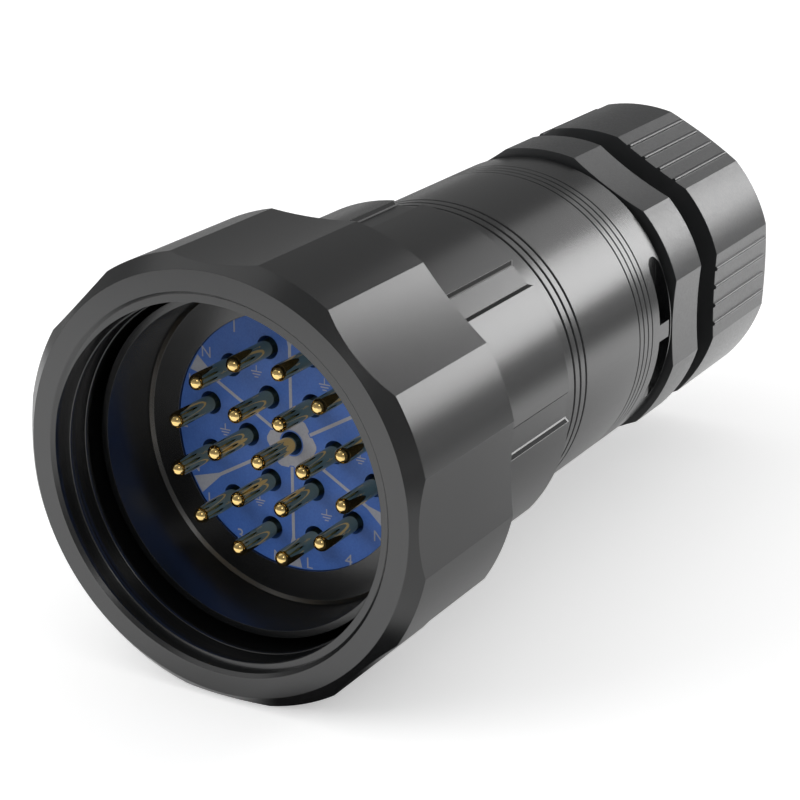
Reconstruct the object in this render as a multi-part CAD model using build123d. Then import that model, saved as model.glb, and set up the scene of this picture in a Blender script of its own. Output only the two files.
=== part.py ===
from build123d import *
import os
from math import cos, radians, sin

# A 19-contact circular cable plug, in millimetres.
# X runs out of the mouth, Z is up and Y is the index side that the wrench notch marks.
# A depth is measured rearwards from the coupling ring's front face.

# Fits shared by the pieces
running_clearance = 0.08
seat_clearance = 0.05
axial_play = 0.1

# Coupling ring
ring_wall = 5.1
ring_hollow_count = 8
ring_hollow_depth = 1.05
ring_hollow_radius = 59.4
ring_length = 24.45
ring_chamfer = 1.9
ring_lip = 2.95
mouth_chamfer_width = 0.46
mouth_chamfer_depth = 0.5
coupling_thread_length = 7.4
coupling_thread_gap = 1.7
thread_relief = 0.4

# Plug shell
neck_radius = 22.0
neck_wall = 2.0
neck_length = 14.0
skirt_step = 1.2
skirt_wall = 0.95
skirt_recess = 8.06
skirt_depth = 9.64
skirt_foot_chamfer = 0.45
web_width = 2.24
web_thickness = 2.0
flange_step = 0.55
flange_thickness = 2.0
washer_thickness = 0.8
face_seal_height = 1.1
face_seal_thickness = 1.3

# Insulators and contacts
insert_recess = 0.4
insert_front_thickness = 6.3
insert_rear_thickness = 5.0
clamp_ring_thickness = 3.0
clamp_ring_wall = 3.6
clamp_slot_width = 3.0
clamp_slot_depth = 1.5
contact_radius = 1.125
contact_nose_facets = 2
contact_reach = 8.7
contact_collar_radius = 2.0
contact_collar_length = 1.0
contact_tail_radius = 1.5
contact_tail_length = 6.0
contact_hole_radius = 1.6
insert_dish_margin = 0.67
inner_circle_radius = 6.70
inner_circle_count = 6
outer_circle_radius = 13.08
outer_circle_count = 12

# Shell body
body_gap = 0.4
body_wall = 3.4
body_length = 23.75
body_land_height = 1.5
channel_count = 8
channel_top_width = 4.67
channel_floor_width = 3.2
channel_depth = 0.7
socket_depth = 7.6

# Rear barrel
barrel_wall = 3.77
barrel_spigot_wall = 2.45
barrel_length = 39.1
barrel_end_rounding = 0.35
coarse_groove_start = 5.9
coarse_groove_pitch = 1.8
coarse_groove_count = 3
coarse_groove_width = 0.6
coarse_groove_depth = 0.4
fine_groove_start = 27.6
fine_groove_pitch = 1.5
fine_groove_count = 4
fine_groove_width = 0.36
fine_groove_depth = 0.22
o_ring_offset = 1.7
o_ring_width = 1.6
o_ring_depth = 1.25
notch_count = 2
notch_depth = 2.77
notch_length = 3.9
notch_corner = 1.9
notch_rim = 0.5
notch_tab_width = 2.6
notch_tab_length = 3.3

# Cable gland
gland_entry_step = 1.0
gland_entry_depth = 11.1
gland_spigot_length = 10.7
gland_gap = 1.0
seal_ring_wall = 1.8
seal_ring_thickness = 1.6
gland_hollow_count = 6
collar_step = 1.03
collar_hollow_depth = 1.36
collar_hollow_radius = 58.0
collar_length = 9.4
gland_thread_wall = 3.0
gland_thread_length = 13.9
gland_bore_gap = 2.0
claw_seat_depth = 12.0
claw_wall = 2.05
claw_length = 17.0
claw_base_length = 6.0
claw_tip_length = 4.0
claw_tip_bevel = 1.35
claw_slot_count = 12
claw_slot_width = 1.6
grommet_wall = 3.35
grommet_length = 13.0
nut_step = 0.1
nut_wall = 4.12
nut_hollow_depth = 1.2
nut_hollow_radius = 108.3
nut_offset = 6.5
nut_length = 21.9
nut_chamfer = 1.2
nut_lip = 2.85
nut_exit_gap = 2.5
nut_exit_chamfer = 0.8
nut_rib_count = 4
nut_rib_pitch = 3.0
nut_rib_radius = 0.35
nut_rib_bevel = 0.2
thrust_ring_step = 1.1
thrust_ring_length = 4.0
thrust_ring_front_wall = 1.3
thrust_ring_rear_wall = 3.0

# Radii, worked out from the neck outwards and then along the barrel to the cable
skirt_radius = neck_radius + skirt_step
skirt_inner_radius = skirt_radius - skirt_wall
flange_radius = skirt_radius + flange_step
coupling_thread_radius = skirt_radius + coupling_thread_gap
ring_radius = coupling_thread_radius + ring_wall
insert_bore_radius = neck_radius - neck_wall
insert_radius = insert_bore_radius - seat_clearance
insert_dish_radius = outer_circle_radius + contact_collar_radius + insert_dish_margin
aperture_radius = insert_bore_radius - web_width
body_radius = neck_radius + body_wall
socket_radius = neck_radius
body_land_radius = socket_radius - body_land_height
spigot_radius = socket_radius - seat_clearance
barrel_bore_radius = spigot_radius - barrel_spigot_wall
barrel_radius = barrel_bore_radius + barrel_wall
gland_entry_radius = barrel_bore_radius - gland_entry_step
seal_ring_radius = gland_entry_radius + seal_ring_wall
collar_radius = barrel_radius + collar_step
nut_radius = collar_radius - nut_step
nut_bore_radius = nut_radius - nut_wall
gland_thread_radius = nut_bore_radius - running_clearance
claw_seat_radius = gland_thread_radius - gland_thread_wall
claw_radius = claw_seat_radius - seat_clearance
claw_bore = claw_radius - claw_wall
thrust_ring_radius = gland_thread_radius - thrust_ring_step
grommet_radius = claw_bore - seat_clearance
cable_radius = grommet_radius - grommet_wall
gland_bore_radius = cable_radius + gland_bore_gap
nut_exit_radius = cable_radius + nut_exit_gap

# Depths of the main planes, worked out from front to rear
lip_front = ring_length - ring_lip
flange_rear = lip_front - axial_play - washer_thickness
flange_front = flange_rear - flange_thickness
shoulder = skirt_recess + skirt_depth
web_rear = shoulder + web_thickness
plug_rear = flange_rear + neck_length
insert_face = shoulder + insert_recess
insert_joint = web_rear + insert_front_thickness
clamp_front = insert_joint + insert_rear_thickness
clamp_rear = clamp_front + clamp_ring_thickness
body_front = ring_length + body_gap
body_rear = body_front + body_length
spigot_front = body_rear - socket_depth
barrel_rear = body_rear + barrel_length
notch_rear = barrel_rear - notch_rim
notch_front = notch_rear - notch_length
seal_ring_rear = barrel_rear + seal_ring_thickness
collar_front = barrel_rear + gland_gap
collar_rear = collar_front + collar_length
gland_rear = collar_rear + gland_thread_length
claw_seat = gland_rear - claw_seat_depth
nut_front = collar_rear + nut_offset
nut_rear = nut_front + nut_length
nut_lip_front = nut_rear - nut_lip
thrust_rear = nut_lip_front - seat_clearance
thrust_front = thrust_rear - thrust_ring_length


def x_at(depth):
    """X of the plane that lies this far behind the ring's front face."""
    return mouth_chamfer_depth - depth


def turned(*corners, rounds=()):
    """Solid turned about X from (depth, radius) corners, with the named corners rounded."""
    section = make_face(Polyline([(x_at(depth), radius) for depth, radius in corners], close=True))
    for depth, radius, rounding in rounds:
        corner = section.vertices().sort_by_distance((x_at(depth), radius, 0))[0]
        section = fillet(corner, rounding)
    return revolve(section, Axis.X)


def tube(front, rear, inner, outer):
    """Plain ring between two depths."""
    return turned((front, inner), (front, outer), (rear, outer), (rear, inner))


def rod(front, rear, radius):
    """Plain cylinder between two depths."""
    return turned((front, 0), (front, radius), (rear, radius), (rear, 0))


def bar(front, rear, width, low, high):
    """Block along X, centred on Z and lying from low to high along Y."""
    centre = Pos((x_at(front) + x_at(rear)) / 2, (low + high) / 2, 0)
    return centre * Box(rear - front, high - low, width)


def around(solid, count):
    """Copies of a solid at equal turns about X, the first one where it stands."""
    return [Rot(X=360 * step / count) * solid for step in range(count)]


def hollows(front, rear, apothem, radius, count):
    """Cutters for shallow hollows round a piece, the first one on the index side."""
    return around(Pos(0, apothem + radius, 0) * rod(front, rear, radius), count)


def contact_points():
    """Y and Z of the contacts: the centre, the inner circle and the outer circle."""
    inner = [360 * step / inner_circle_count for step in range(inner_circle_count)]
    outer = [360 * (step + 0.5) / outer_circle_count for step in range(outer_circle_count)]
    points = [(0, 0)]
    points += [(inner_circle_radius * cos(radians(a)), inner_circle_radius * sin(radians(a))) for a in inner]
    points += [(outer_circle_radius * cos(radians(a)), outer_circle_radius * sin(radians(a))) for a in outer]
    return points


def at_contacts(solid):
    """Copies of a solid on every contact's axis."""
    return [Pos(0, y, z) * solid for y, z in contact_points()]


def coupling_ring():
    """Ring with a chamfered front, a threaded mouth, a relief and a lip that runs on the neck."""
    mouth_radius = coupling_thread_radius + mouth_chamfer_width
    relief_radius = coupling_thread_radius + thread_relief
    lip_radius = neck_radius + running_clearance
    thread_rear = mouth_chamfer_depth + coupling_thread_length
    ring = turned(
        (0, mouth_radius),
        (0, ring_radius - ring_chamfer),
        (ring_chamfer, ring_radius),
        (ring_length, ring_radius),
        (ring_length, lip_radius),
        (lip_front, lip_radius),
        (lip_front, relief_radius),
        (thread_rear, relief_radius),
        (thread_rear, coupling_thread_radius),
        (mouth_chamfer_depth, coupling_thread_radius),
    )
    apothem = ring_radius - ring_hollow_depth
    return ring - hollows(0, ring_length, apothem, ring_hollow_radius, ring_hollow_count)


def plug_shell():
    """Thin skirt, inner shoulder, flange that holds the ring, and the threaded neck."""
    return turned(
        (skirt_recess, skirt_inner_radius),
        (skirt_recess, skirt_radius),
        (flange_front, skirt_radius),
        (flange_front, flange_radius),
        (flange_rear, flange_radius),
        (flange_rear, neck_radius),
        (plug_rear, neck_radius),
        (plug_rear, insert_bore_radius),
        (web_rear, insert_bore_radius),
        (web_rear, aperture_radius),
        (shoulder, aperture_radius),
        (shoulder, skirt_inner_radius - skirt_foot_chamfer),
        (shoulder - skirt_foot_chamfer, skirt_inner_radius),
    )


def face_seal():
    """Rubber ring that stands on the flange round the skirt's foot."""
    inner = skirt_radius + seat_clearance
    return tube(flange_front - face_seal_thickness, flange_front, inner, inner + face_seal_height)


def coupling_washer():
    """Slip washer behind the flange."""
    return tube(flange_rear, flange_rear + washer_thickness, neck_radius + seat_clearance, flange_radius)


def insert_front():
    """Insulator whose boss fills the shell's aperture, with a wide hole round each contact."""
    body = turned(
        (insert_face, 0),
        (insert_face, aperture_radius - seat_clearance),
        (web_rear, aperture_radius - seat_clearance),
        (web_rear, insert_radius),
        (insert_joint, insert_radius),
        (insert_joint, 0),
    )
    return body - at_contacts(rod(insert_face, insert_joint, contact_hole_radius))


def insert_rear():
    """Disc that carries the contacts, with a shallow dish in front for their collars."""
    dish_floor = insert_joint + contact_collar_length
    disc = turned(
        (dish_floor, 0),
        (dish_floor, insert_dish_radius),
        (insert_joint, insert_dish_radius),
        (insert_joint, insert_radius),
        (clamp_front, insert_radius),
        (clamp_front, 0),
    )
    return disc - at_contacts(rod(dish_floor, clamp_front, contact_tail_radius + seat_clearance))


def insert_clamp_ring():
    """Threaded ring behind the insulators, slotted for a pin wrench."""
    ring = tube(clamp_front, clamp_rear, insert_radius - clamp_ring_wall, insert_radius)
    slot = bar(clamp_rear - clamp_slot_depth, clamp_rear, clamp_slot_width, 0, insert_radius)
    return ring - around(slot, 2)


def contact_pin():
    """Round-nosed pin with a collar that the insulators trap, and a tail for the wire."""
    tip = insert_face - contact_reach
    collar_rear = insert_joint + contact_collar_length
    tail_rear = clamp_front + contact_tail_length
    nose = []
    for step in range(contact_nose_facets + 1):
        angle = radians(90 * step / contact_nose_facets)
        nose.append((tip + contact_radius * (1 - cos(angle)), contact_radius * sin(angle)))
    return turned(
        *nose,
        (insert_joint, contact_radius),
        (insert_joint, contact_collar_radius),
        (collar_rear, contact_collar_radius),
        (collar_rear, contact_tail_radius),
        (tail_rear, contact_tail_radius),
        (tail_rear, 0),
    )


def channel():
    """Cutter for one lengthwise channel on the index side, its walls carried on past the surface."""
    floor = body_radius - channel_depth
    top = body_radius + channel_depth
    half_floor = channel_floor_width / 2
    half_top = channel_top_width - half_floor
    corners = [(floor, -half_floor), (top, -half_top), (top, half_top), (floor, half_floor)]
    section = make_face(Polyline(corners, close=True))
    return extrude(Plane.YZ.offset(x_at(body_rear)) * section, body_length)


def shell_body():
    """Channelled body, screwed on to the neck in front and on to the barrel behind."""
    neck_bore = neck_radius + seat_clearance
    body = turned(
        (body_front, neck_bore),
        (body_front, body_radius),
        (body_rear, body_radius),
        (body_rear, socket_radius),
        (spigot_front, socket_radius),
        (spigot_front, body_land_radius),
        (plug_rear, body_land_radius),
        (plug_rear, neck_bore),
    )
    return body - around(channel(), channel_count)


def groove_middles(start, pitch, count):
    """Depths of the middles of a row of grooves along the barrel."""
    return [body_rear + start + pitch * step for step in range(count)]


def groove_corners(middles, width, depth):
    """Corners of a row of V grooves in the barrel's outline, from front to rear."""
    corners = []
    for middle in middles:
        corners.append((middle - width / 2, barrel_radius))
        corners.append((middle, barrel_radius - depth))
        corners.append((middle + width / 2, barrel_radius))
    return corners


def notch():
    """Cutter for the wrench slot on the index side, with a tab left standing on its front wall."""
    floor = barrel_radius - notch_depth
    half_width = (barrel_radius**2 - floor**2) ** 0.5
    cutter = bar(notch_front, notch_rear, 2 * half_width, floor, barrel_radius)
    cutter = fillet(cutter.edges().filter_by(Axis.Y), notch_corner)
    return cutter - bar(notch_front, notch_front + notch_tab_length, notch_tab_width, floor, barrel_radius)


def rear_barrel():
    """Grooved barrel with a sealed spigot in front and the gland's threaded entry behind."""
    ring_rear = body_rear - o_ring_offset
    ring_front = ring_rear - o_ring_width
    ring_floor = spigot_radius - o_ring_depth
    entry_front = barrel_rear - gland_entry_depth
    coarse = groove_middles(coarse_groove_start, coarse_groove_pitch, coarse_groove_count)
    fine = groove_middles(fine_groove_start, fine_groove_pitch, fine_groove_count)
    barrel = turned(
        (spigot_front, barrel_bore_radius),
        (spigot_front, spigot_radius),
        (ring_front, spigot_radius),
        (ring_front, ring_floor),
        (ring_rear, ring_floor),
        (ring_rear, spigot_radius),
        (body_rear, spigot_radius),
        (body_rear, barrel_radius),
        *groove_corners(coarse, coarse_groove_width, coarse_groove_depth),
        *groove_corners(fine, fine_groove_width, fine_groove_depth),
        (barrel_rear, barrel_radius),
        (barrel_rear, gland_entry_radius),
        (entry_front, gland_entry_radius),
        (entry_front, barrel_bore_radius),
        rounds=[(barrel_rear, barrel_radius, barrel_end_rounding)],
    )
    return barrel - around(notch(), notch_count)


def barrel_o_ring():
    """Seal that fills the spigot's groove up to the socket's wall."""
    rear = body_rear - o_ring_offset
    return tube(rear - o_ring_width, rear, spigot_radius - o_ring_depth, spigot_radius)


def gland_seal_ring():
    """Seal between the barrel's end and the recess in the collar's front."""
    return tube(barrel_rear, seal_ring_rear, gland_entry_radius, seal_ring_radius)


def gland_body():
    """Hollow-sided collar with an entry spigot in front and the cap nut's thread behind."""
    entry_spigot_radius = gland_entry_radius - seat_clearance
    recess_radius = seal_ring_radius + seat_clearance
    entry_spigot_front = collar_front - gland_spigot_length
    body = turned(
        (entry_spigot_front, gland_bore_radius),
        (entry_spigot_front, entry_spigot_radius),
        (seal_ring_rear, entry_spigot_radius),
        (seal_ring_rear, recess_radius),
        (collar_front, recess_radius),
        (collar_front, collar_radius),
        (collar_rear, collar_radius),
        (collar_rear, gland_thread_radius),
        (gland_rear, gland_thread_radius),
        (gland_rear, claw_seat_radius),
        (claw_seat, claw_seat_radius),
        (claw_seat, gland_bore_radius),
    )
    apothem = collar_radius - collar_hollow_depth
    return body - hollows(collar_front, collar_rear, apothem, collar_hollow_radius, gland_hollow_count)


def gland_claw():
    """Cage of clamping fingers on a closed base, bevelled at the tips."""
    base_rear = claw_seat + claw_base_length
    tip = claw_seat + claw_length
    cage = turned(
        (claw_seat, claw_bore),
        (claw_seat, claw_radius),
        (tip - claw_tip_length, claw_radius),
        (tip, claw_radius - claw_tip_bevel),
        (tip, claw_bore),
    )
    slot = bar(base_rear, tip, claw_slot_width, 0, claw_radius)
    return cage - around(slot, claw_slot_count)


def gland_grommet():
    """Rubber sleeve with the cable's bore."""
    return tube(claw_seat, claw_seat + grommet_length, cable_radius, grommet_radius)


def gland_thrust_ring():
    """Coned ring that lies against the nut's lip and faces the claws."""
    return turned(
        (thrust_front, thrust_ring_radius - thrust_ring_front_wall),
        (thrust_front, thrust_ring_radius),
        (thrust_rear, thrust_ring_radius),
        (thrust_rear, thrust_ring_radius - thrust_ring_rear_wall),
    )


def nut_ribs(apothem):
    """Half-round grip ribs along the hollow on the index side, bevelled at the rear."""
    rear = nut_rear - nut_chamfer
    rib = turned(
        (nut_front, 0),
        (nut_front, nut_rib_radius),
        (rear - nut_rib_bevel, nut_rib_radius),
        (rear, nut_rib_radius - nut_rib_bevel),
        (rear, 0),
    )
    ribs = []
    for step in range(nut_rib_count):
        across = nut_rib_pitch * (step - (nut_rib_count - 1) / 2)
        rise = nut_hollow_radius - (nut_hollow_radius**2 - across**2) ** 0.5
        ribs.append(Pos(0, apothem + rise, across) * rib)
    return ribs


def gland_nut():
    """Ribbed cap nut with a thread, a pocket for the thrust ring and a lip round the cable's exit."""
    pocket_bore = thrust_ring_radius + running_clearance
    nut = turned(
        (nut_front, nut_bore_radius),
        (nut_front, nut_radius),
        (nut_rear - nut_chamfer, nut_radius),
        (nut_rear, nut_radius - nut_chamfer),
        (nut_rear, nut_exit_radius + nut_exit_chamfer),
        (nut_rear - nut_exit_chamfer, nut_exit_radius),
        (nut_lip_front, nut_exit_radius),
        (nut_lip_front, pocket_bore),
        (thrust_front, pocket_bore),
        (thrust_front, nut_bore_radius),
    )
    apothem = nut_radius - nut_hollow_depth
    nut = nut - hollows(nut_front, nut_rear, apothem, nut_hollow_radius, gland_hollow_count)
    for rib in nut_ribs(apothem):
        nut = nut + around(rib, gland_hollow_count)
    return nut


def save(name, solid):
    """Write one piece under its own name."""
    solid.label = name
    export_step(solid, f"parts/{name}.step")


def main():
    """Build every piece and write it."""
    os.makedirs("parts", exist_ok=True)
    pieces = [
        coupling_ring,
        plug_shell,
        face_seal,
        coupling_washer,
        insert_front,
        insert_rear,
        insert_clamp_ring,
        shell_body,
        rear_barrel,
        barrel_o_ring,
        gland_seal_ring,
        gland_body,
        gland_claw,
        gland_grommet,
        gland_thrust_ring,
        gland_nut,
    ]
    for piece in pieces:
        save(piece.__name__, piece())
    for number, pin in enumerate(at_contacts(contact_pin()), start=1):
        save(f"contact_pin_{number:02d}", pin)


main()
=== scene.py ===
import math

import bpy
import numpy as np
from mathutils import Matrix, Vector


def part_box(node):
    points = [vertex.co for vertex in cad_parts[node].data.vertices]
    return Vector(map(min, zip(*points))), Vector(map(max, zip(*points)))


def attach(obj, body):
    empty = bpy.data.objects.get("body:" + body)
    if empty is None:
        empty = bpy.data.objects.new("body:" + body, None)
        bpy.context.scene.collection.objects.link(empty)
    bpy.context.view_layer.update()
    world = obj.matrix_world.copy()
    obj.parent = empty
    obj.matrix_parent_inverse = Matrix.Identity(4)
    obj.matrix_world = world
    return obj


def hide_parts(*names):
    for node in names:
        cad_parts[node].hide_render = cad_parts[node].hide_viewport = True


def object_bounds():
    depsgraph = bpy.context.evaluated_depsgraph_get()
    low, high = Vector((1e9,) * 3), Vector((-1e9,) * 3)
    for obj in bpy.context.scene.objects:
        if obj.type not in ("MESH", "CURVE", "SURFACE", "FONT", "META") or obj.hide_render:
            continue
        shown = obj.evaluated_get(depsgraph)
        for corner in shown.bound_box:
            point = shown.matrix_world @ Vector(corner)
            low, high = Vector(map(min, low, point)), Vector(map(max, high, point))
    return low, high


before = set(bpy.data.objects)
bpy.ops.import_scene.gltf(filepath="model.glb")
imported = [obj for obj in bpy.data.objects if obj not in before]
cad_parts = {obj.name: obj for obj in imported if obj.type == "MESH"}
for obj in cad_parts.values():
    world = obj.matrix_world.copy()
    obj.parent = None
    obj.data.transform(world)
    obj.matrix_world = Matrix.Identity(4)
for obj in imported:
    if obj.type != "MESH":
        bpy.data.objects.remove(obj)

# The looks of a 19-contact circular cable plug: threads, contacts, print, finishes, floor and light.
# Sizes below are in millimetres and made metres by mm(). X runs out of the mouth, Y is the index side and
# Z is up. A depth is measured rearwards from the coupling ring's front face.

cad_low, cad_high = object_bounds()
metre = 1000.0
front_face_x = 0.5
bevel_samples = 6
soft_edge_degrees = 40

# Coupling thread inside the ring's mouth. The heights of its section are shares of the full height, from the
# front wall's foot over the land to the foot of the rear flank.
thread_pitch = 3.2
thread_root_radius = 24.9
thread_root_sink = 0.05
thread_crest_radius = 23.9
thread_face_depth = 0.5
thread_rear_depth = 7.85
thread_start_degrees = 167.0
thread_edge_break = 0.06
thread_land = 0.75
thread_shoulder = 0.18
thread_ridge_width = 1.36
thread_section_heights = (0.0, 0.94, 1.0, 1.0, 0.9, 0.62, 0.05, 0.0)
thread_run_out_degrees = 40.0
thread_steps = 420

# Turned grooves and milled channel walls, whose skin is duller than the blasted one
groove_radii = (22.8, 23.22)
groove_depths = (54.2, 81.4)
channel_wall_radii = (24.93, 25.36)
channel_depths = (26.0, 48.2)

# Contacts
contact_count = 19
contact_radius = 1.125
contact_nose_length = 1.125
contact_collar_depth = 26.0
contact_collar_radius = 2.0
contact_collar_length = 1.0
contact_tail_radius = 1.5
contact_edge_round = 0.12
contact_dome_steps = 10
contact_segments = 40

# Print on the insulator's face
insert_face_depth = 18.1
print_height = 0.015
print_sink = 0.01
sector_count = 6
first_sector_degrees = 120.0
hub_apothem = 3.45
hub_corner_radius = 3.82
hub_hole_radius = 1.82
hub_notch_depth = 0.3
hub_notch_half_width = 0.42
hub_points = 180
spoke_width = 0.46
wedge_start_radius = 13.3
wedge_end_radius = 17.5
wedge_width = 2.5
letter_radius = 16.75
digit_radius = 17.05
legend_letter_height = 1.5
legend_digit_height = 1.7
legend_side_degrees = 21.5
legend_curve_steps = 4
earth_radius = 10.45
earth_height = 1.66
earth_widths = (1.66, 1.2, 0.6)
earth_stem = 0.85
earth_stroke = 0.15
earth_bar_pitch = 0.38

# Camera, at the photograph's viewing angle
camera_place = (209.488, 149.036, 104.926)
camera_target = (-60.0, -8.364, -8.958)
camera_roll_degrees = -0.249
camera_lens = 100.32
camera_sensor = 36.0
camera_near = 10.0
camera_far = 20000.0

# Floor. In reflections it has a painted glow before the mouth, up to a line beside the index side, and behind
# the gland.
floor_reach = 3000.0
floor_colour = "F2F2F2"
floor_camera_glow = 0.4
front_glow = (0.12, 0.5)
front_glow_x = (0.0, 12.0)
front_glow_fade_y = (20.0, 50.0)
rear_glow = 0.75
rear_glow_x = (-70.0, -180.0)

# Painted shade on the floor in reflections: the share of it that is kept near the ring's foot and far out,
# and how far each reaches
foot_centre = (-2.0, 20.0, -29.3)
foot_reach = (12.0, 19.0)
foot_shade_share = 0.04
table_centre = (-40.0, 0.0, -29.3)
table_reach = (190.0, 310.0)
far_shade_share = 0.2

# Even light from all round, and the rise of a ray over which the reflected backdrop darkens
fill_strength = 0.6
backdrop_height = (-0.02, 0.06)
backdrop_top = 0.24


def mm(value):
    """Metres from millimetres, for a number, a tuple or an array."""
    if isinstance(value, tuple):
        return tuple(0.001 * part for part in value)
    return 0.001 * value


def x_at(depth):
    """X in millimetres of the plane that lies this far behind the ring's front face."""
    return front_face_x - depth


def surface(name, points, faces, body, finish, smooth_degrees=None):
    """Makes a piece from an (n, 3) array of points in millimetres and its faces, and lets it ride."""
    mesh = bpy.data.meshes.new(name)
    mesh.from_pydata(mm(points).tolist(), [], [list(map(int, face)) for face in faces])
    mesh.validate()
    mesh.update()
    if smooth_degrees is not None:
        mesh.shade_smooth()
        mesh.set_sharp_from_angle(angle=math.radians(smooth_degrees))
    mesh.materials.append(finish)
    piece = bpy.data.objects.new(name, mesh)
    bpy.context.scene.collection.objects.link(piece)
    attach(piece, body)
    return piece


def grid_faces(rows, columns, close_rows=False, close_columns=False):
    """Quads of a grid of points numbered row by row, closed on itself where asked."""
    row = np.arange(rows if close_rows else rows - 1)
    column = np.arange(columns if close_columns else columns - 1)
    r, c = np.meshgrid(row, column, indexing="ij")
    r, c = r.ravel(), c.ravel()
    this_row, next_row = r * columns, (r + 1) % rows * columns
    next_c = (c + 1) % columns
    return np.stack([this_row + c, this_row + next_c, next_row + next_c, next_row + c], 1)


def colour(hex_code):
    """Linear RGBA of an sRGB hex value such as 2F5596."""
    parts = np.array([int(hex_code[i:i + 2], 16) for i in (0, 2, 4)]) / 255
    linear = np.where(parts <= 0.04045, parts / 12.92, ((parts + 0.055) / 1.055) ** 2.4)
    return (*linear.tolist(), 1.0)


def add(tree, kind, inputs=(), **settings):
    """Adds one node, makes its settings, and gives each named input a value or another node's output."""
    made = tree.nodes.new(kind)
    for name, value in settings.items():
        setattr(made, name, value)
    for name, value in dict(inputs).items():
        if isinstance(value, bpy.types.NodeSocket):
            tree.links.new(value, made.inputs[name])
        else:
            made.inputs[name].default_value = value
    return made


def new_finish(name):
    """An empty material and its tree, with the Object coordinates that every pattern here follows."""
    finish = bpy.data.materials.new(name)
    finish.use_nodes = True
    finish.node_tree.nodes.clear()
    place = add(finish.node_tree, "ShaderNodeTexCoord").outputs["Object"]
    return finish, finish.node_tree, place


def mottled(tree, place, patch, low, high):
    """Colour that wanders between two hex values over patches of the given size in millimetres."""
    noise = add(tree, "ShaderNodeTexNoise", {"Vector": place, "Scale": 1 / mm(patch)})
    ends = {0: noise.outputs["Fac"], 6: colour(low), 7: colour(high)}
    return add(tree, "ShaderNodeMix", ends, data_type="RGBA").outputs[2]


def within(tree, value, low, high):
    """One where a value lies between two limits, else nought."""
    limits = {0: value, 1: (low + high) / 2, 2: (high - low) / 2}
    return add(tree, "ShaderNodeMath", limits, operation="COMPARE").outputs[0]


def machined_zone(tree, place, radii, depths):
    """One where a point's distance from the axis and its depth both lie within limits in millimetres."""
    flat = add(tree, "ShaderNodeVectorMath", {0: place, 1: (0.0, 1.0, 1.0)}, operation="MULTIPLY").outputs[0]
    radius = add(tree, "ShaderNodeVectorMath", {0: flat}, operation="LENGTH").outputs["Value"]
    along = add(tree, "ShaderNodeSeparateXYZ", {0: place}).outputs["X"]
    ring = within(tree, radius, mm(radii[0]), mm(radii[1]))
    stretch = within(tree, along, mm(x_at(depths[1])), mm(x_at(depths[0])))
    return add(tree, "ShaderNodeMath", {0: ring, 1: stretch}, operation="MULTIPLY").outputs[0]


def ranged(tree, value, low, high):
    """Turns a pattern's 0.3 to 0.7 into a range from low to high."""
    spread = {"Value": value, "From Min": 0.3, "From Max": 0.7, "To Min": low, "To Max": high}
    return add(tree, "ShaderNodeMapRange", spread).outputs["Result"]


def blasted_anodised():
    """Bead-blasted aluminium, hard anodised black: a dark satin skin whose fine grain softens each highlight.

    Fine beads leave pits of about 0.05 mm. They are too fine to show, so they are drawn coarser here. The
    grooves and the channels' walls were cut afterwards, so they are duller and read as dark lines.
    """
    pit_width = 0.13
    pit_depth = 0.0012
    edge_break = 0.05
    cut_roughness = 0.75
    finish, tree, place = new_finish("blasted_black_anodised")
    grooves = machined_zone(tree, place, groove_radii, groove_depths)
    walls = machined_zone(tree, place, channel_wall_radii, channel_depths)
    dull = add(tree, "ShaderNodeMath", {0: grooves, 1: walls}, operation="MAXIMUM").outputs[0]
    pits = add(tree, "ShaderNodeTexVoronoi", {"Vector": place, "Scale": 1 / mm(pit_width)})
    edge = add(tree, "ShaderNodeBevel", {"Radius": mm(edge_break)}, samples=bevel_samples)
    bump = add(tree, "ShaderNodeBump", {
        "Height": pits.outputs["Distance"],
        "Distance": mm(pit_depth),
        "Normal": edge.outputs["Normal"],
    })
    skin = ranged(tree, pits.outputs["Distance"], 0.23, 0.27)
    shader = add(tree, "ShaderNodeBsdfPrincipled", {
        "Base Color": mottled(tree, place, 2.5, "0B0C0D", "101112"),
        "Roughness": add(tree, "ShaderNodeMix", {0: dull, 2: skin, 3: cut_roughness}).outputs[0],
        "IOR": 1.77,
        "Normal": bump.outputs["Normal"],
    })
    add(tree, "ShaderNodeOutputMaterial", {"Surface": shader.outputs["BSDF"]})
    return finish


def moulded_black_nylon():
    """Glass-filled nylon, moulded black: rougher and greyer than the metal, with a spark-eroded grain.

    The mould's grain is about 0.1 mm. It is too fine to show, so it is drawn coarser here.
    """
    grain_width = 0.4
    grain_height = 0.05
    edge_break = 0.12
    finish, tree, place = new_finish("moulded_black_nylon")
    grain = add(tree, "ShaderNodeTexNoise", {
        "Vector": place,
        "Scale": 1 / mm(grain_width),
        "Detail": 3.0,
        "Roughness": 0.65,
    })
    edge = add(tree, "ShaderNodeBevel", {"Radius": mm(edge_break)}, samples=bevel_samples)
    bump = add(tree, "ShaderNodeBump", {
        "Height": grain.outputs["Fac"],
        "Strength": 0.3,
        "Distance": mm(grain_height),
        "Normal": edge.outputs["Normal"],
    })
    shader = add(tree, "ShaderNodeBsdfPrincipled", {
        "Base Color": mottled(tree, place, 3.0, "232425", "2B2C2D"),
        "Roughness": ranged(tree, grain.outputs["Fac"], 0.28, 0.38),
        "IOR": 1.77,
        "Normal": bump.outputs["Normal"],
    })
    add(tree, "ShaderNodeOutputMaterial", {"Surface": shader.outputs["BSDF"]})
    return finish


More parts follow.
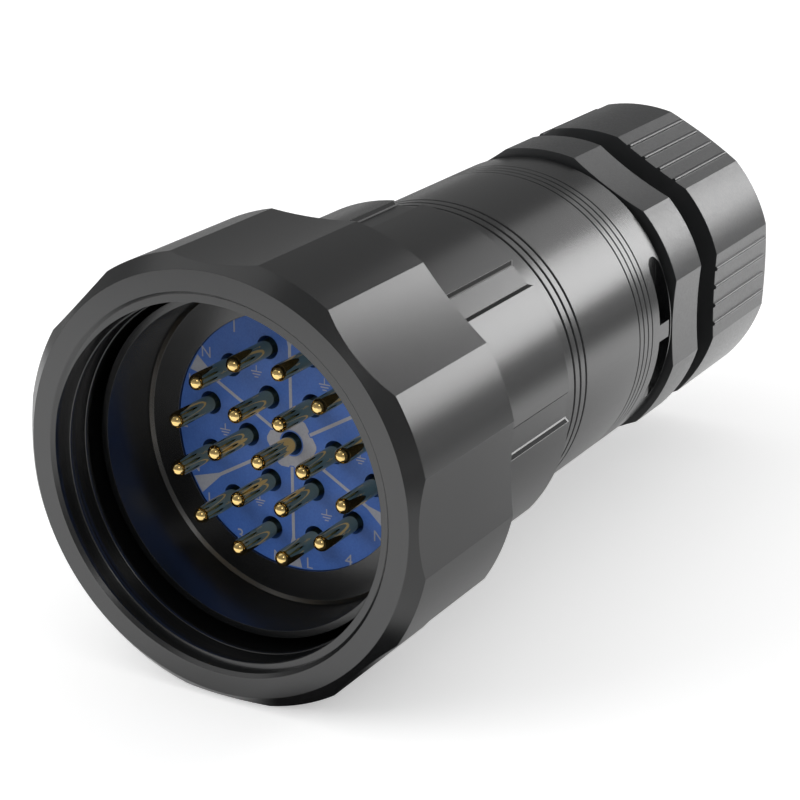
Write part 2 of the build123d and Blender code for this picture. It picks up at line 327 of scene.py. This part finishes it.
def moulded_blue_insulator():
    """Moulded blue polyester: an even matt face with a slight orange peel and faint mottling."""
    peel_width = 0.35
    peel_height = 0.06
    finish, tree, place = new_finish("moulded_blue_polyester")
    peel = add(tree, "ShaderNodeTexNoise", {
        "Vector": place,
        "Scale": 1 / mm(peel_width),
        "Detail": 3.0,
        "Roughness": 0.6,
    })
    relief = {"Height": peel.outputs["Fac"], "Strength": 0.25, "Distance": mm(peel_height)}
    bump = add(tree, "ShaderNodeBump", relief)
    shader = add(tree, "ShaderNodeBsdfPrincipled", {
        "Base Color": mottled(tree, place, 0.25, "3059A8", "4470BE"),
        "Roughness": ranged(tree, peel.outputs["Fac"], 0.42, 0.56),
        "IOR": 1.52,
        "Normal": bump.outputs["Normal"],
    })
    add(tree, "ShaderNodeOutputMaterial", {"Surface": shader.outputs["BSDF"]})
    return finish


def moulded_black_insulator():
    """Moulded black polyester behind the blue one: matt and plain, seen only where the shells are apart."""
    peel_width = 0.6
    peel_height = 0.05
    finish, tree, place = new_finish("moulded_black_polyester")
    peel = add(tree, "ShaderNodeTexNoise", {"Vector": place, "Scale": 1 / mm(peel_width)})
    relief = {"Height": peel.outputs["Fac"], "Strength": 0.2, "Distance": mm(peel_height)}
    bump = add(tree, "ShaderNodeBump", relief)
    shader = add(tree, "ShaderNodeBsdfPrincipled", {
        "Base Color": mottled(tree, place, 2.0, "17181A", "1F2022"),
        "Roughness": ranged(tree, peel.outputs["Fac"], 0.45, 0.6),
        "IOR": 1.52,
        "Normal": bump.outputs["Normal"],
    })
    add(tree, "ShaderNodeOutputMaterial", {"Surface": shader.outputs["BSDF"]})
    return finish


def black_rubber():
    """Moulded nitrile rubber: near black, soft and almost without a highlight, with a fine bloom."""
    bloom_width = 0.8
    bloom_height = 0.08
    finish, tree, place = new_finish("black_nitrile_rubber")
    bloom = add(tree, "ShaderNodeTexNoise", {"Vector": place, "Scale": 1 / mm(bloom_width), "Detail": 4.0})
    relief = {"Height": bloom.outputs["Fac"], "Strength": 0.3, "Distance": mm(bloom_height)}
    bump = add(tree, "ShaderNodeBump", relief)
    shader = add(tree, "ShaderNodeBsdfPrincipled", {
        "Base Color": mottled(tree, place, 1.5, "141414", "1E1E1E"),
        "Roughness": ranged(tree, bloom.outputs["Fac"], 0.6, 0.8),
        "IOR": 1.5,
        "Normal": bump.outputs["Normal"],
    })
    add(tree, "ShaderNodeOutputMaterial", {"Surface": shader.outputs["BSDF"]})
    return finish


def natural_acetal():
    """Turned natural acetal of the slip rings: milky white with faint turning rings round the axis.

    A fine cut leaves rings about 0.1 mm apart. They are too fine to show, so they are drawn coarser here.
    """
    ring_scale = 2.0
    ring_height = 0.02
    glow_depth = 2.0
    finish, tree, place = new_finish("turned_natural_acetal")
    rings = add(tree, "ShaderNodeTexWave", {
        "Vector": place,
        "Scale": 1 / mm(ring_scale),
        "Distortion": 0.6,
    }, wave_type="RINGS", rings_direction="X")
    relief = {"Height": rings.outputs["Fac"], "Strength": 0.15, "Distance": mm(ring_height)}
    bump = add(tree, "ShaderNodeBump", relief)
    shader = add(tree, "ShaderNodeBsdfPrincipled", {
        "Base Color": mottled(tree, place, 2.0, "DAD8CF", "E6E4DC"),
        "Roughness": ranged(tree, rings.outputs["Fac"], 0.35, 0.45),
        "IOR": 1.48,
        "Subsurface Weight": 0.1,
        "Subsurface Radius": mm((glow_depth, glow_depth, glow_depth)),
        "Normal": bump.outputs["Normal"],
    })
    add(tree, "ShaderNodeOutputMaterial", {"Surface": shader.outputs["BSDF"]})
    return finish


def hard_gold():
    """Hard gold plate over a turned copper alloy: a mirror with faint turning marks round each contact.

    The tool's feed is about 0.05 mm. It is too fine to show, so the marks are drawn coarser here, and drawn
    out round the contact by squeezing the pattern's other two directions.
    """
    mark_width = 0.12
    mark_height = 0.01
    squeeze = (1.0, 0.06, 0.06)
    finish, tree, place = new_finish("hard_gold_plate")
    drawn_out = add(tree, "ShaderNodeMapping", {"Vector": place, "Scale": squeeze}).outputs["Vector"]
    turning = add(tree, "ShaderNodeTexNoise", {"Vector": drawn_out, "Scale": 1 / mm(mark_width)})
    relief = {"Height": turning.outputs["Fac"], "Strength": 0.05, "Distance": mm(mark_height)}
    bump = add(tree, "ShaderNodeBump", relief)
    shader = add(tree, "ShaderNodeBsdfPrincipled", {
        "Base Color": mottled(tree, place, 1.2, "F0CD83", "F6D894"),
        "Metallic": 1.0,
        "Roughness": ranged(tree, turning.outputs["Fac"], 0.04, 0.08),
        "Normal": bump.outputs["Normal"],
    })
    add(tree, "ShaderNodeOutputMaterial", {"Surface": shader.outputs["BSDF"]})
    return finish


def grey_print():
    """Pad-printed grey ink: flat, thin and slightly uneven where the pad met the moulded grain."""
    patch_width = 0.3
    finish, tree, place = new_finish("grey_pad_print")
    patch = add(tree, "ShaderNodeTexNoise", {"Vector": place, "Scale": 1 / mm(patch_width), "Detail": 3.0})
    shader = add(tree, "ShaderNodeBsdfPrincipled", {
        "Base Color": mottled(tree, place, 0.35, "9094A0", "A6A9B2"),
        "Roughness": ranged(tree, patch.outputs["Fac"], 0.5, 0.65),
        "IOR": 1.48,
    })
    add(tree, "ShaderNodeOutputMaterial", {"Surface": shader.outputs["BSDF"]})
    return finish


def thread_ridge(name, finish):
    """Helical ridge of the coupling thread, cut off square by the mouth's inner face.

    The front wall's depth is the pitch times the turns made, and the turns run backwards from the start's
    angle. The section follows behind that wall: up it to the crest, along the land, and down the sloped rear
    flank to the root. Points that would lie before the mouth's inner face are held on it, with the height
    that the section has there, and the last stretch sinks to the root.
    """
    base = thread_root_radius + thread_root_sink
    behind = np.array([
        0.0, 0.0, thread_edge_break, thread_land,
        thread_land + thread_shoulder, thread_land + 2 * thread_shoulder,
        thread_ridge_width, thread_ridge_width,
    ])
    height = np.array(thread_section_heights)
    face_turn = 360 * (thread_face_depth - thread_ridge_width) / thread_pitch
    end_turn = 360 * (thread_rear_depth - thread_ridge_width) / thread_pitch
    turn = np.linspace(face_turn, end_turn, thread_steps)
    front = thread_pitch * turn / 360
    fade = np.clip((end_turn - turn) / thread_run_out_degrees, 0, 1) ** 0.5
    depth = np.maximum(front[:, None] + behind[None, :], thread_face_depth)
    shown_height = np.interp(depth - front[:, None], behind[1:-1], height[1:-1])
    shown_height[:, 0] = 0
    shown_height[:, -1] = 0
    radius = base - (base - thread_crest_radius) * shown_height * fade[:, None]
    angle = np.radians(thread_start_degrees - (turn - face_turn))[:, None]
    points = np.stack([x_at(depth), radius * np.cos(angle), radius * np.sin(angle)], -1).reshape(-1, 3)
    section = np.arange(len(behind))
    walls = grid_faces(thread_steps, len(behind), close_columns=True).tolist()
    faces = [*walls, section[::-1].tolist(), (section + (thread_steps - 1) * len(behind)).tolist()]
    surface(name, points, faces, "ring", finish, soft_edge_degrees)


def lathe(corners, segments):
    """Points and faces of a solid turned about X from (x, radius) corners, the poles at radius nought."""
    x, radius = np.array(corners, float).T
    angle = np.linspace(0, 2 * np.pi, segments, endpoint=False)
    ring = np.stack([
        np.repeat(x[:, None], segments, 1),
        radius[:, None] * np.cos(angle),
        radius[:, None] * np.sin(angle),
    ], -1)
    return ring.reshape(-1, 3), grid_faces(len(corners), segments, close_columns=True)


def contact(name, node, finish):
    """Turned contact in place of its plain solid: domed pin, collar between the insulators and solder tail.

    The profile starts at the pole of the dome, whose radius follows a quarter ellipse. It runs down the shank
    to the collar, out over it and on along the thicker tail, and closes at the tail's middle.
    """
    low, high = (np.array(corner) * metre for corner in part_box(node))
    middle = (low + high) / 2
    bend = np.linspace(0, np.pi / 2, contact_dome_steps)
    dome = [(high[0] - contact_nose_length * (1 - math.cos(b)), contact_radius * math.sin(b)) for b in bend]
    collar_front = x_at(contact_collar_depth)
    collar_rear = collar_front - contact_collar_length
    ease = contact_edge_round
    corners = [
        *dome,
        (collar_front, contact_radius),
        (collar_front, contact_collar_radius - ease),
        (collar_front - ease, contact_collar_radius),
        (collar_rear + ease, contact_collar_radius),
        (collar_rear, contact_collar_radius - ease),
        (collar_rear, contact_tail_radius),
        (low[0] + ease, contact_tail_radius),
        (low[0], contact_tail_radius - ease),
        (low[0], 0.0),
    ]
    points, faces = lathe(corners, contact_segments)
    points = points + np.array([0.0, middle[1], middle[2]])
    piece = surface(name, points, faces, "plug", finish, soft_edge_degrees)
    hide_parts(node)


def raised(outline):
    """Thin flat print: a (y, z) outline on the insulator's face, given the ink's height and closed."""
    outline = np.array(outline, float)
    count = len(outline)
    x = x_at(insert_face_depth) + np.array([-print_sink, print_height])
    points = np.concatenate([np.column_stack([np.full(count, level), outline]) for level in x])
    around = np.arange(count)
    following = (around + 1) % count
    sides = np.stack([around, following, following + count, around + count], 1).tolist()
    return points, [*sides, around[::-1].tolist(), (around + count).tolist()]


def joined(parts):
    """One array of points and one list of faces from several such pairs."""
    points, faces, start = [], [], 0
    for part_points, part_faces in parts:
        points.append(part_points)
        faces += [[start + corner for corner in face] for face in part_faces]
        start += len(part_points)
    return np.concatenate(points), faces


def polar(radius, degrees):
    """(y, z) of a point on the insulator's face, with the angle turned from the index side upwards."""
    turn = math.radians(degrees)
    return radius * math.cos(turn), radius * math.sin(turn)


def legend(text, height, radius, degrees):
    """An upright figure or letter of a given height on the insulator's face, as a thin closed form.

    The text becomes a mesh of any thickness first. Its front half then goes to the ink's height and its rear
    half just into the face, while its outline is scaled to the height and centred on its place.
    """
    curve = bpy.data.curves.new("legend", "FONT")
    curve.body = text
    curve.extrude = 0.5
    curve.resolution_u = legend_curve_steps
    holder = bpy.data.objects.new("legend", curve)
    bpy.context.scene.collection.objects.link(holder)
    bpy.context.view_layer.update()
    mesh = bpy.data.meshes.new_from_object(holder.evaluated_get(bpy.context.evaluated_depsgraph_get()))
    flat = np.array([corner.co for corner in mesh.vertices])
    faces = [list(face.vertices) for face in mesh.polygons]
    bpy.data.objects.remove(holder)
    bpy.data.curves.remove(curve)
    bpy.data.meshes.remove(mesh)
    low, high = flat.min(0), flat.max(0)
    scale = height / (high[1] - low[1])
    y, z = polar(radius, degrees)
    x = x_at(insert_face_depth) + np.where(flat[:, 2] > 0, print_height, -print_sink)
    across = y + scale * (flat[:, 0] - (low[0] + high[0]) / 2)
    upward = z + scale * (flat[:, 1] - (low[1] + high[1]) / 2)
    return np.column_stack([x, across, upward]), faces


def earth_symbol(radius, degrees):
    """Protective earth: a stem that stands on the first of three bars, each shorter than the one above."""
    y, z = polar(radius, degrees)
    half = earth_stroke / 2
    top = z + earth_height / 2
    first = top - earth_stem
    wide, middle, narrow = earth_widths
    tee = [
        (y - wide / 2, first - half), (y + wide / 2, first - half), (y + wide / 2, first + half),
        (y + half, first + half), (y + half, top), (y - half, top), (y - half, first + half),
        (y - wide / 2, first + half),
    ]
    parts = [raised(tee)]
    for row, width in enumerate((middle, narrow), 1):
        level = first - row * earth_bar_pitch
        bar = [
            (y - width / 2, level - half), (y + width / 2, level - half),
            (y + width / 2, level + half), (y - width / 2, level + half),
        ]
        parts.append(raised(bar))
    return parts


def spoke(degrees):
    """A line from the hub outwards that flares to a wedge at the insulator's rim."""
    start = hub_apothem - hub_notch_depth / 2
    outline = [
        (start, -spoke_width / 2), (wedge_start_radius, -spoke_width / 2),
        (wedge_end_radius, -wedge_width / 2), (wedge_end_radius, wedge_width / 2),
        (wedge_start_radius, spoke_width / 2), (start, spoke_width / 2),
    ]
    turn = math.radians(degrees)
    swing = np.array([[math.cos(turn), math.sin(turn)], [-math.sin(turn), math.cos(turn)]])
    return raised(np.array(outline) @ swing)


def hub():
    """Six-sided patch round the middle contact, open over its recess.

    Its outline runs round the hexagon with the hub's apothem, held inside the corner radius, and steps in
    by the notch's depth where a spoke meets the middle of a side.
    """
    count = hub_points
    turn = np.linspace(0, 2 * np.pi, count, endpoint=False)
    sector = 2 * np.pi / sector_count
    side = np.mod(turn, sector) - sector / 2
    outer = np.minimum(hub_apothem / np.cos(side), hub_corner_radius)
    outer = outer - hub_notch_depth * (np.abs(np.sin(side) * outer) < hub_notch_half_width)
    x = x_at(insert_face_depth) + np.array([-print_sink, print_height, print_height, -print_sink])
    radius = np.stack([np.full(count, hub_hole_radius), np.full(count, hub_hole_radius), outer, outer])
    points = np.stack([
        np.repeat(x[:, None], count, 1), radius * np.cos(turn), radius * np.sin(turn),
    ], -1).reshape(-1, 3)
    return points, grid_faces(len(x), count, close_rows=True, close_columns=True).tolist()


def face_print(name, finish):
    """All the print on the insulator: hub, spokes, sector figures, L and N letters and earth symbols."""
    parts = [hub()]
    for sector in range(sector_count):
        centre = first_sector_degrees + 360 / sector_count * sector
        parts.append(spoke(centre + 180 / sector_count))
        parts.append(legend(str(sector + 1), legend_digit_height, digit_radius, centre))
        parts.append(legend("N", legend_letter_height, letter_radius, centre + legend_side_degrees))
        parts.append(legend("L", legend_letter_height, letter_radius, centre - legend_side_degrees))
        parts += earth_symbol(earth_radius, centre)
    points, faces = joined(parts)
    surface(name, points, faces, "plug", finish)


def camera():
    """Camera at the photograph's angle: it looks from its place at the target, with a slight roll."""
    data = bpy.data.cameras.new("camera")
    data.lens = camera_lens
    data.sensor_width = camera_sensor
    data.clip_start = mm(camera_near)
    data.clip_end = mm(camera_far)
    eye = bpy.data.objects.new("camera", data)
    bpy.context.scene.collection.objects.link(eye)
    look = Vector(camera_target) - Vector(camera_place)
    turn = look.to_track_quat("-Z", "Y").to_matrix().to_4x4()
    roll = Matrix.Rotation(math.radians(camera_roll_degrees), 4, "Z")
    eye.matrix_world = Matrix.Translation(mm(Vector(camera_place))) @ turn @ roll
    bpy.context.scene.camera = eye


def reflected_floor(tree, place):
    """The floor's glow in reflections, and the share of the floor and its glow that is kept there.

    The painted glow rises towards the front and fades past the index side, and it comes again behind the
    gland. The
    kept share is painted shade: low near the ring's foot, full around it, and low again from a hand's breadth
    away.
    """
    across = add(tree, "ShaderNodeSeparateXYZ", {0: place})
    # Painted glow, seen only in reflections: brighter before the mouth and behind the gland
    front = add(tree, "ShaderNodeMapRange", {
        "Value": across.outputs["X"],
        "From Min": mm(front_glow_x[0]),
        "From Max": mm(front_glow_x[1]),
        "To Min": front_glow[0],
        "To Max": front_glow[1],
    }, interpolation_type="SMOOTHSTEP").outputs["Result"]
    beside = add(tree, "ShaderNodeMapRange", {
        "Value": across.outputs["Y"],
        "From Min": mm(front_glow_fade_y[0]),
        "From Max": mm(front_glow_fade_y[1]),
        "To Min": 1.0,
        "To Max": 0.0,
    }, interpolation_type="SMOOTHSTEP").outputs["Result"]
    rear = add(tree, "ShaderNodeMapRange", {
        "Value": across.outputs["X"],
        "From Min": mm(rear_glow_x[0]),
        "From Max": mm(rear_glow_x[1]),
        "To Max": rear_glow,
    }, interpolation_type="SMOOTHSTEP").outputs["Result"]
    glow = add(tree, "ShaderNodeMath", {0: front, 1: beside, 2: rear}, operation="MULTIPLY_ADD").outputs[0]
    # Painted shade in reflections: darkest at the ring's foot, and darker again far out
    foot = add(tree, "ShaderNodeVectorMath", {0: place, 1: mm(foot_centre)}, operation="DISTANCE")
    foot = add(tree, "ShaderNodeMapRange", {
        "Value": foot.outputs["Value"],
        "From Min": mm(foot_reach[0]),
        "From Max": mm(foot_reach[1]),
        "To Min": foot_shade_share,
    }, interpolation_type="SMOOTHSTEP").outputs["Result"]
    table = add(tree, "ShaderNodeVectorMath", {0: place, 1: mm(table_centre)}, operation="DISTANCE")
    table = add(tree, "ShaderNodeMapRange", {
        "Value": table.outputs["Value"],
        "From Min": mm(table_reach[0]),
        "From Max": mm(table_reach[1]),
        "To Min": 1.0,
        "To Max": far_shade_share,
    }, interpolation_type="SMOOTHSTEP").outputs["Result"]
    kept = add(tree, "ShaderNodeMath", {0: foot, 1: table}, operation="MULTIPLY").outputs[0]
    return glow, kept


def floor():
    """Pale floor under the object, with its shadow, and white to the camera."""
    reach = mm(floor_reach)
    low = cad_low.z
    corners = [(-reach, -reach, low), (reach, -reach, low), (reach, reach, low), (-reach, reach, low)]
    mesh = bpy.data.meshes.new("floor")
    mesh.from_pydata(corners, [], [(0, 1, 2, 3)])
    finish, tree, place = new_finish("pale_floor")
    glow, kept = reflected_floor(tree, place)
    path = add(tree, "ShaderNodeLightPath")
    mirrored = {0: path.outputs["Is Glossy Ray"], 1: path.outputs["Is Transmission Ray"]}
    mirrored = add(tree, "ShaderNodeMath", mirrored, operation="MAXIMUM").outputs[0]
    glow = add(tree, "ShaderNodeMath", {0: glow, 1: kept}, operation="MULTIPLY").outputs[0]
    glow = add(tree, "ShaderNodeMath", {0: glow, 1: mirrored}, operation="MULTIPLY").outputs[0]
    glow = {0: path.outputs["Is Camera Ray"], 1: floor_camera_glow, 2: glow}
    glow = add(tree, "ShaderNodeMath", glow, operation="MULTIPLY_ADD").outputs[0]
    # In reflections only, the painted shade also darkens the floor's own colour
    shade = add(tree, "ShaderNodeMix", {0: mirrored, 2: 1.0, 3: kept}).outputs[0]
    shade = {0: shade, 6: colour("000000"), 7: colour(floor_colour)}
    matt = {"Color": add(tree, "ShaderNodeMix", shade, data_type="RGBA").outputs[2]}
    matt = add(tree, "ShaderNodeBsdfDiffuse", matt).outputs[0]
    light = add(tree, "ShaderNodeEmission", {"Color": colour("FFFFFF"), "Strength": glow}).outputs[0]
    both = add(tree, "ShaderNodeAddShader", {0: matt, 1: light}).outputs[0]
    add(tree, "ShaderNodeOutputMaterial", {"Surface": both})
    mesh.materials.append(finish)
    piece = bpy.data.objects.new("floor", mesh)
    bpy.context.scene.collection.objects.link(piece)


def softbox(name, direction, distance, width, height, strength, mirrored=True):
    """Rectangular lamp that faces the object from a direction, as bright as strength times a white card."""
    data = bpy.data.lights.new(name, "AREA")
    data.shape = "RECTANGLE"
    data.size = width
    data.size_y = height
    data.energy = strength * math.pi * width * height
    lamp = bpy.data.objects.new(name, data)
    bpy.context.scene.collection.objects.link(lamp)
    away = Vector(direction).normalized()
    centre = (cad_low + cad_high) / 2
    lamp.location = centre + away * distance
    lamp.rotation_euler = (-away).to_track_quat("-Z", "Y").to_euler()
    lamp.visible_glossy = mirrored


def studio_light():
    """Even fill from all round, a backdrop and five lamps.

    The backdrop is white to the camera. In reflections it is white near the floor and dark above.
    """
    world = bpy.data.worlds.new("studio")
    bpy.context.scene.world = world
    world.use_nodes = True
    tree = world.node_tree
    tree.nodes.clear()
    path = add(tree, "ShaderNodeLightPath")
    direct = path.outputs["Is Camera Ray"]
    mirrored = {0: path.outputs["Is Glossy Ray"], 1: path.outputs["Is Transmission Ray"]}
    mirrored = add(tree, "ShaderNodeMath", mirrored, operation="MAXIMUM").outputs[0]
    seen = add(tree, "ShaderNodeMath", {0: direct, 1: mirrored}, operation="MAXIMUM").outputs[0]
    direction = add(tree, "ShaderNodeTexCoord").outputs["Generated"]
    backdrop = add(tree, "ShaderNodeMapRange", {
        "Value": add(tree, "ShaderNodeSeparateXYZ", {0: direction}).outputs["Z"],
        "From Min": backdrop_height[0],
        "From Max": backdrop_height[1],
        "To Min": 1.0,
        "To Max": backdrop_top,
    }, interpolation_type="SMOOTHSTEP").outputs["Result"]
    backdrop = add(tree, "ShaderNodeMath", {0: backdrop, 1: direct}, operation="MAXIMUM").outputs[0]
    fill = add(tree, "ShaderNodeBackground", {"Color": colour("FFFFFF"), "Strength": fill_strength})
    shown = add(tree, "ShaderNodeBackground", {"Color": colour("FFFFFF"), "Strength": backdrop})
    both = add(tree, "ShaderNodeMixShader", {0: seen, 1: fill.outputs[0], 2: shown.outputs[0]})
    add(tree, "ShaderNodeOutputWorld", {"Surface": both.outputs[0]})

    # The long highlight on the index side's upper flats, and a weaker one above it
    softbox("rear_softbox", (-0.73, 0.40, 0.27), distance=1.2, width=0.46, height=0.445, strength=4.9)
    softbox("rear_panel", (-0.84, 0.135, 0.34), distance=1.0, width=0.34, height=0.49, strength=0.9)

    # Light for the insulator, which the metal doesn't mirror, and for the far side's upper flats
    softbox(
        "front_softbox", (0.72, -0.60, 0.36), distance=0.8, width=0.50, height=0.45, strength=3.2,
        mirrored=False,
    )
    softbox("upper_panel", (0.34, -0.52, 0.78), distance=1.2, width=0.9, height=0.9, strength=0.5)

    # A glint on each contact's nose
    softbox("front_glint", (0.82, 0.42, 0.55), distance=0.9, width=0.17, height=0.17, strength=3.0)


black_metal = blasted_anodised()
black_plastic = moulded_black_nylon()
blue_plastic = moulded_blue_insulator()
dark_plastic = moulded_black_insulator()
rubber = black_rubber()
acetal = natural_acetal()
gold = hard_gold()
ink = grey_print()

finish_of_slot = {
    "black_anodised": black_metal,
    "black_nylon": black_plastic,
    "blue_insulator": blue_plastic,
    "black_insulator": dark_plastic,
    "black_rubber": rubber,
    "washer_nylon": acetal,
    "gold_contact": gold,
}
for cad_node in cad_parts.values():
    for place_in_list, old in enumerate(cad_node.data.materials):
        cad_node.material_slots[place_in_list].material = finish_of_slot[old.name]

thread_ridge("coupling_thread_ridge", black_metal)
for number in range(1, contact_count + 1):
    contact(f"turned_contact_{number:02d}", f"contact_pin_{number:02d}", gold)
face_print("insert_face_print", ink)

floor()
studio_light()
camera()
bpy.context.scene.view_settings.view_transform = "Standard"
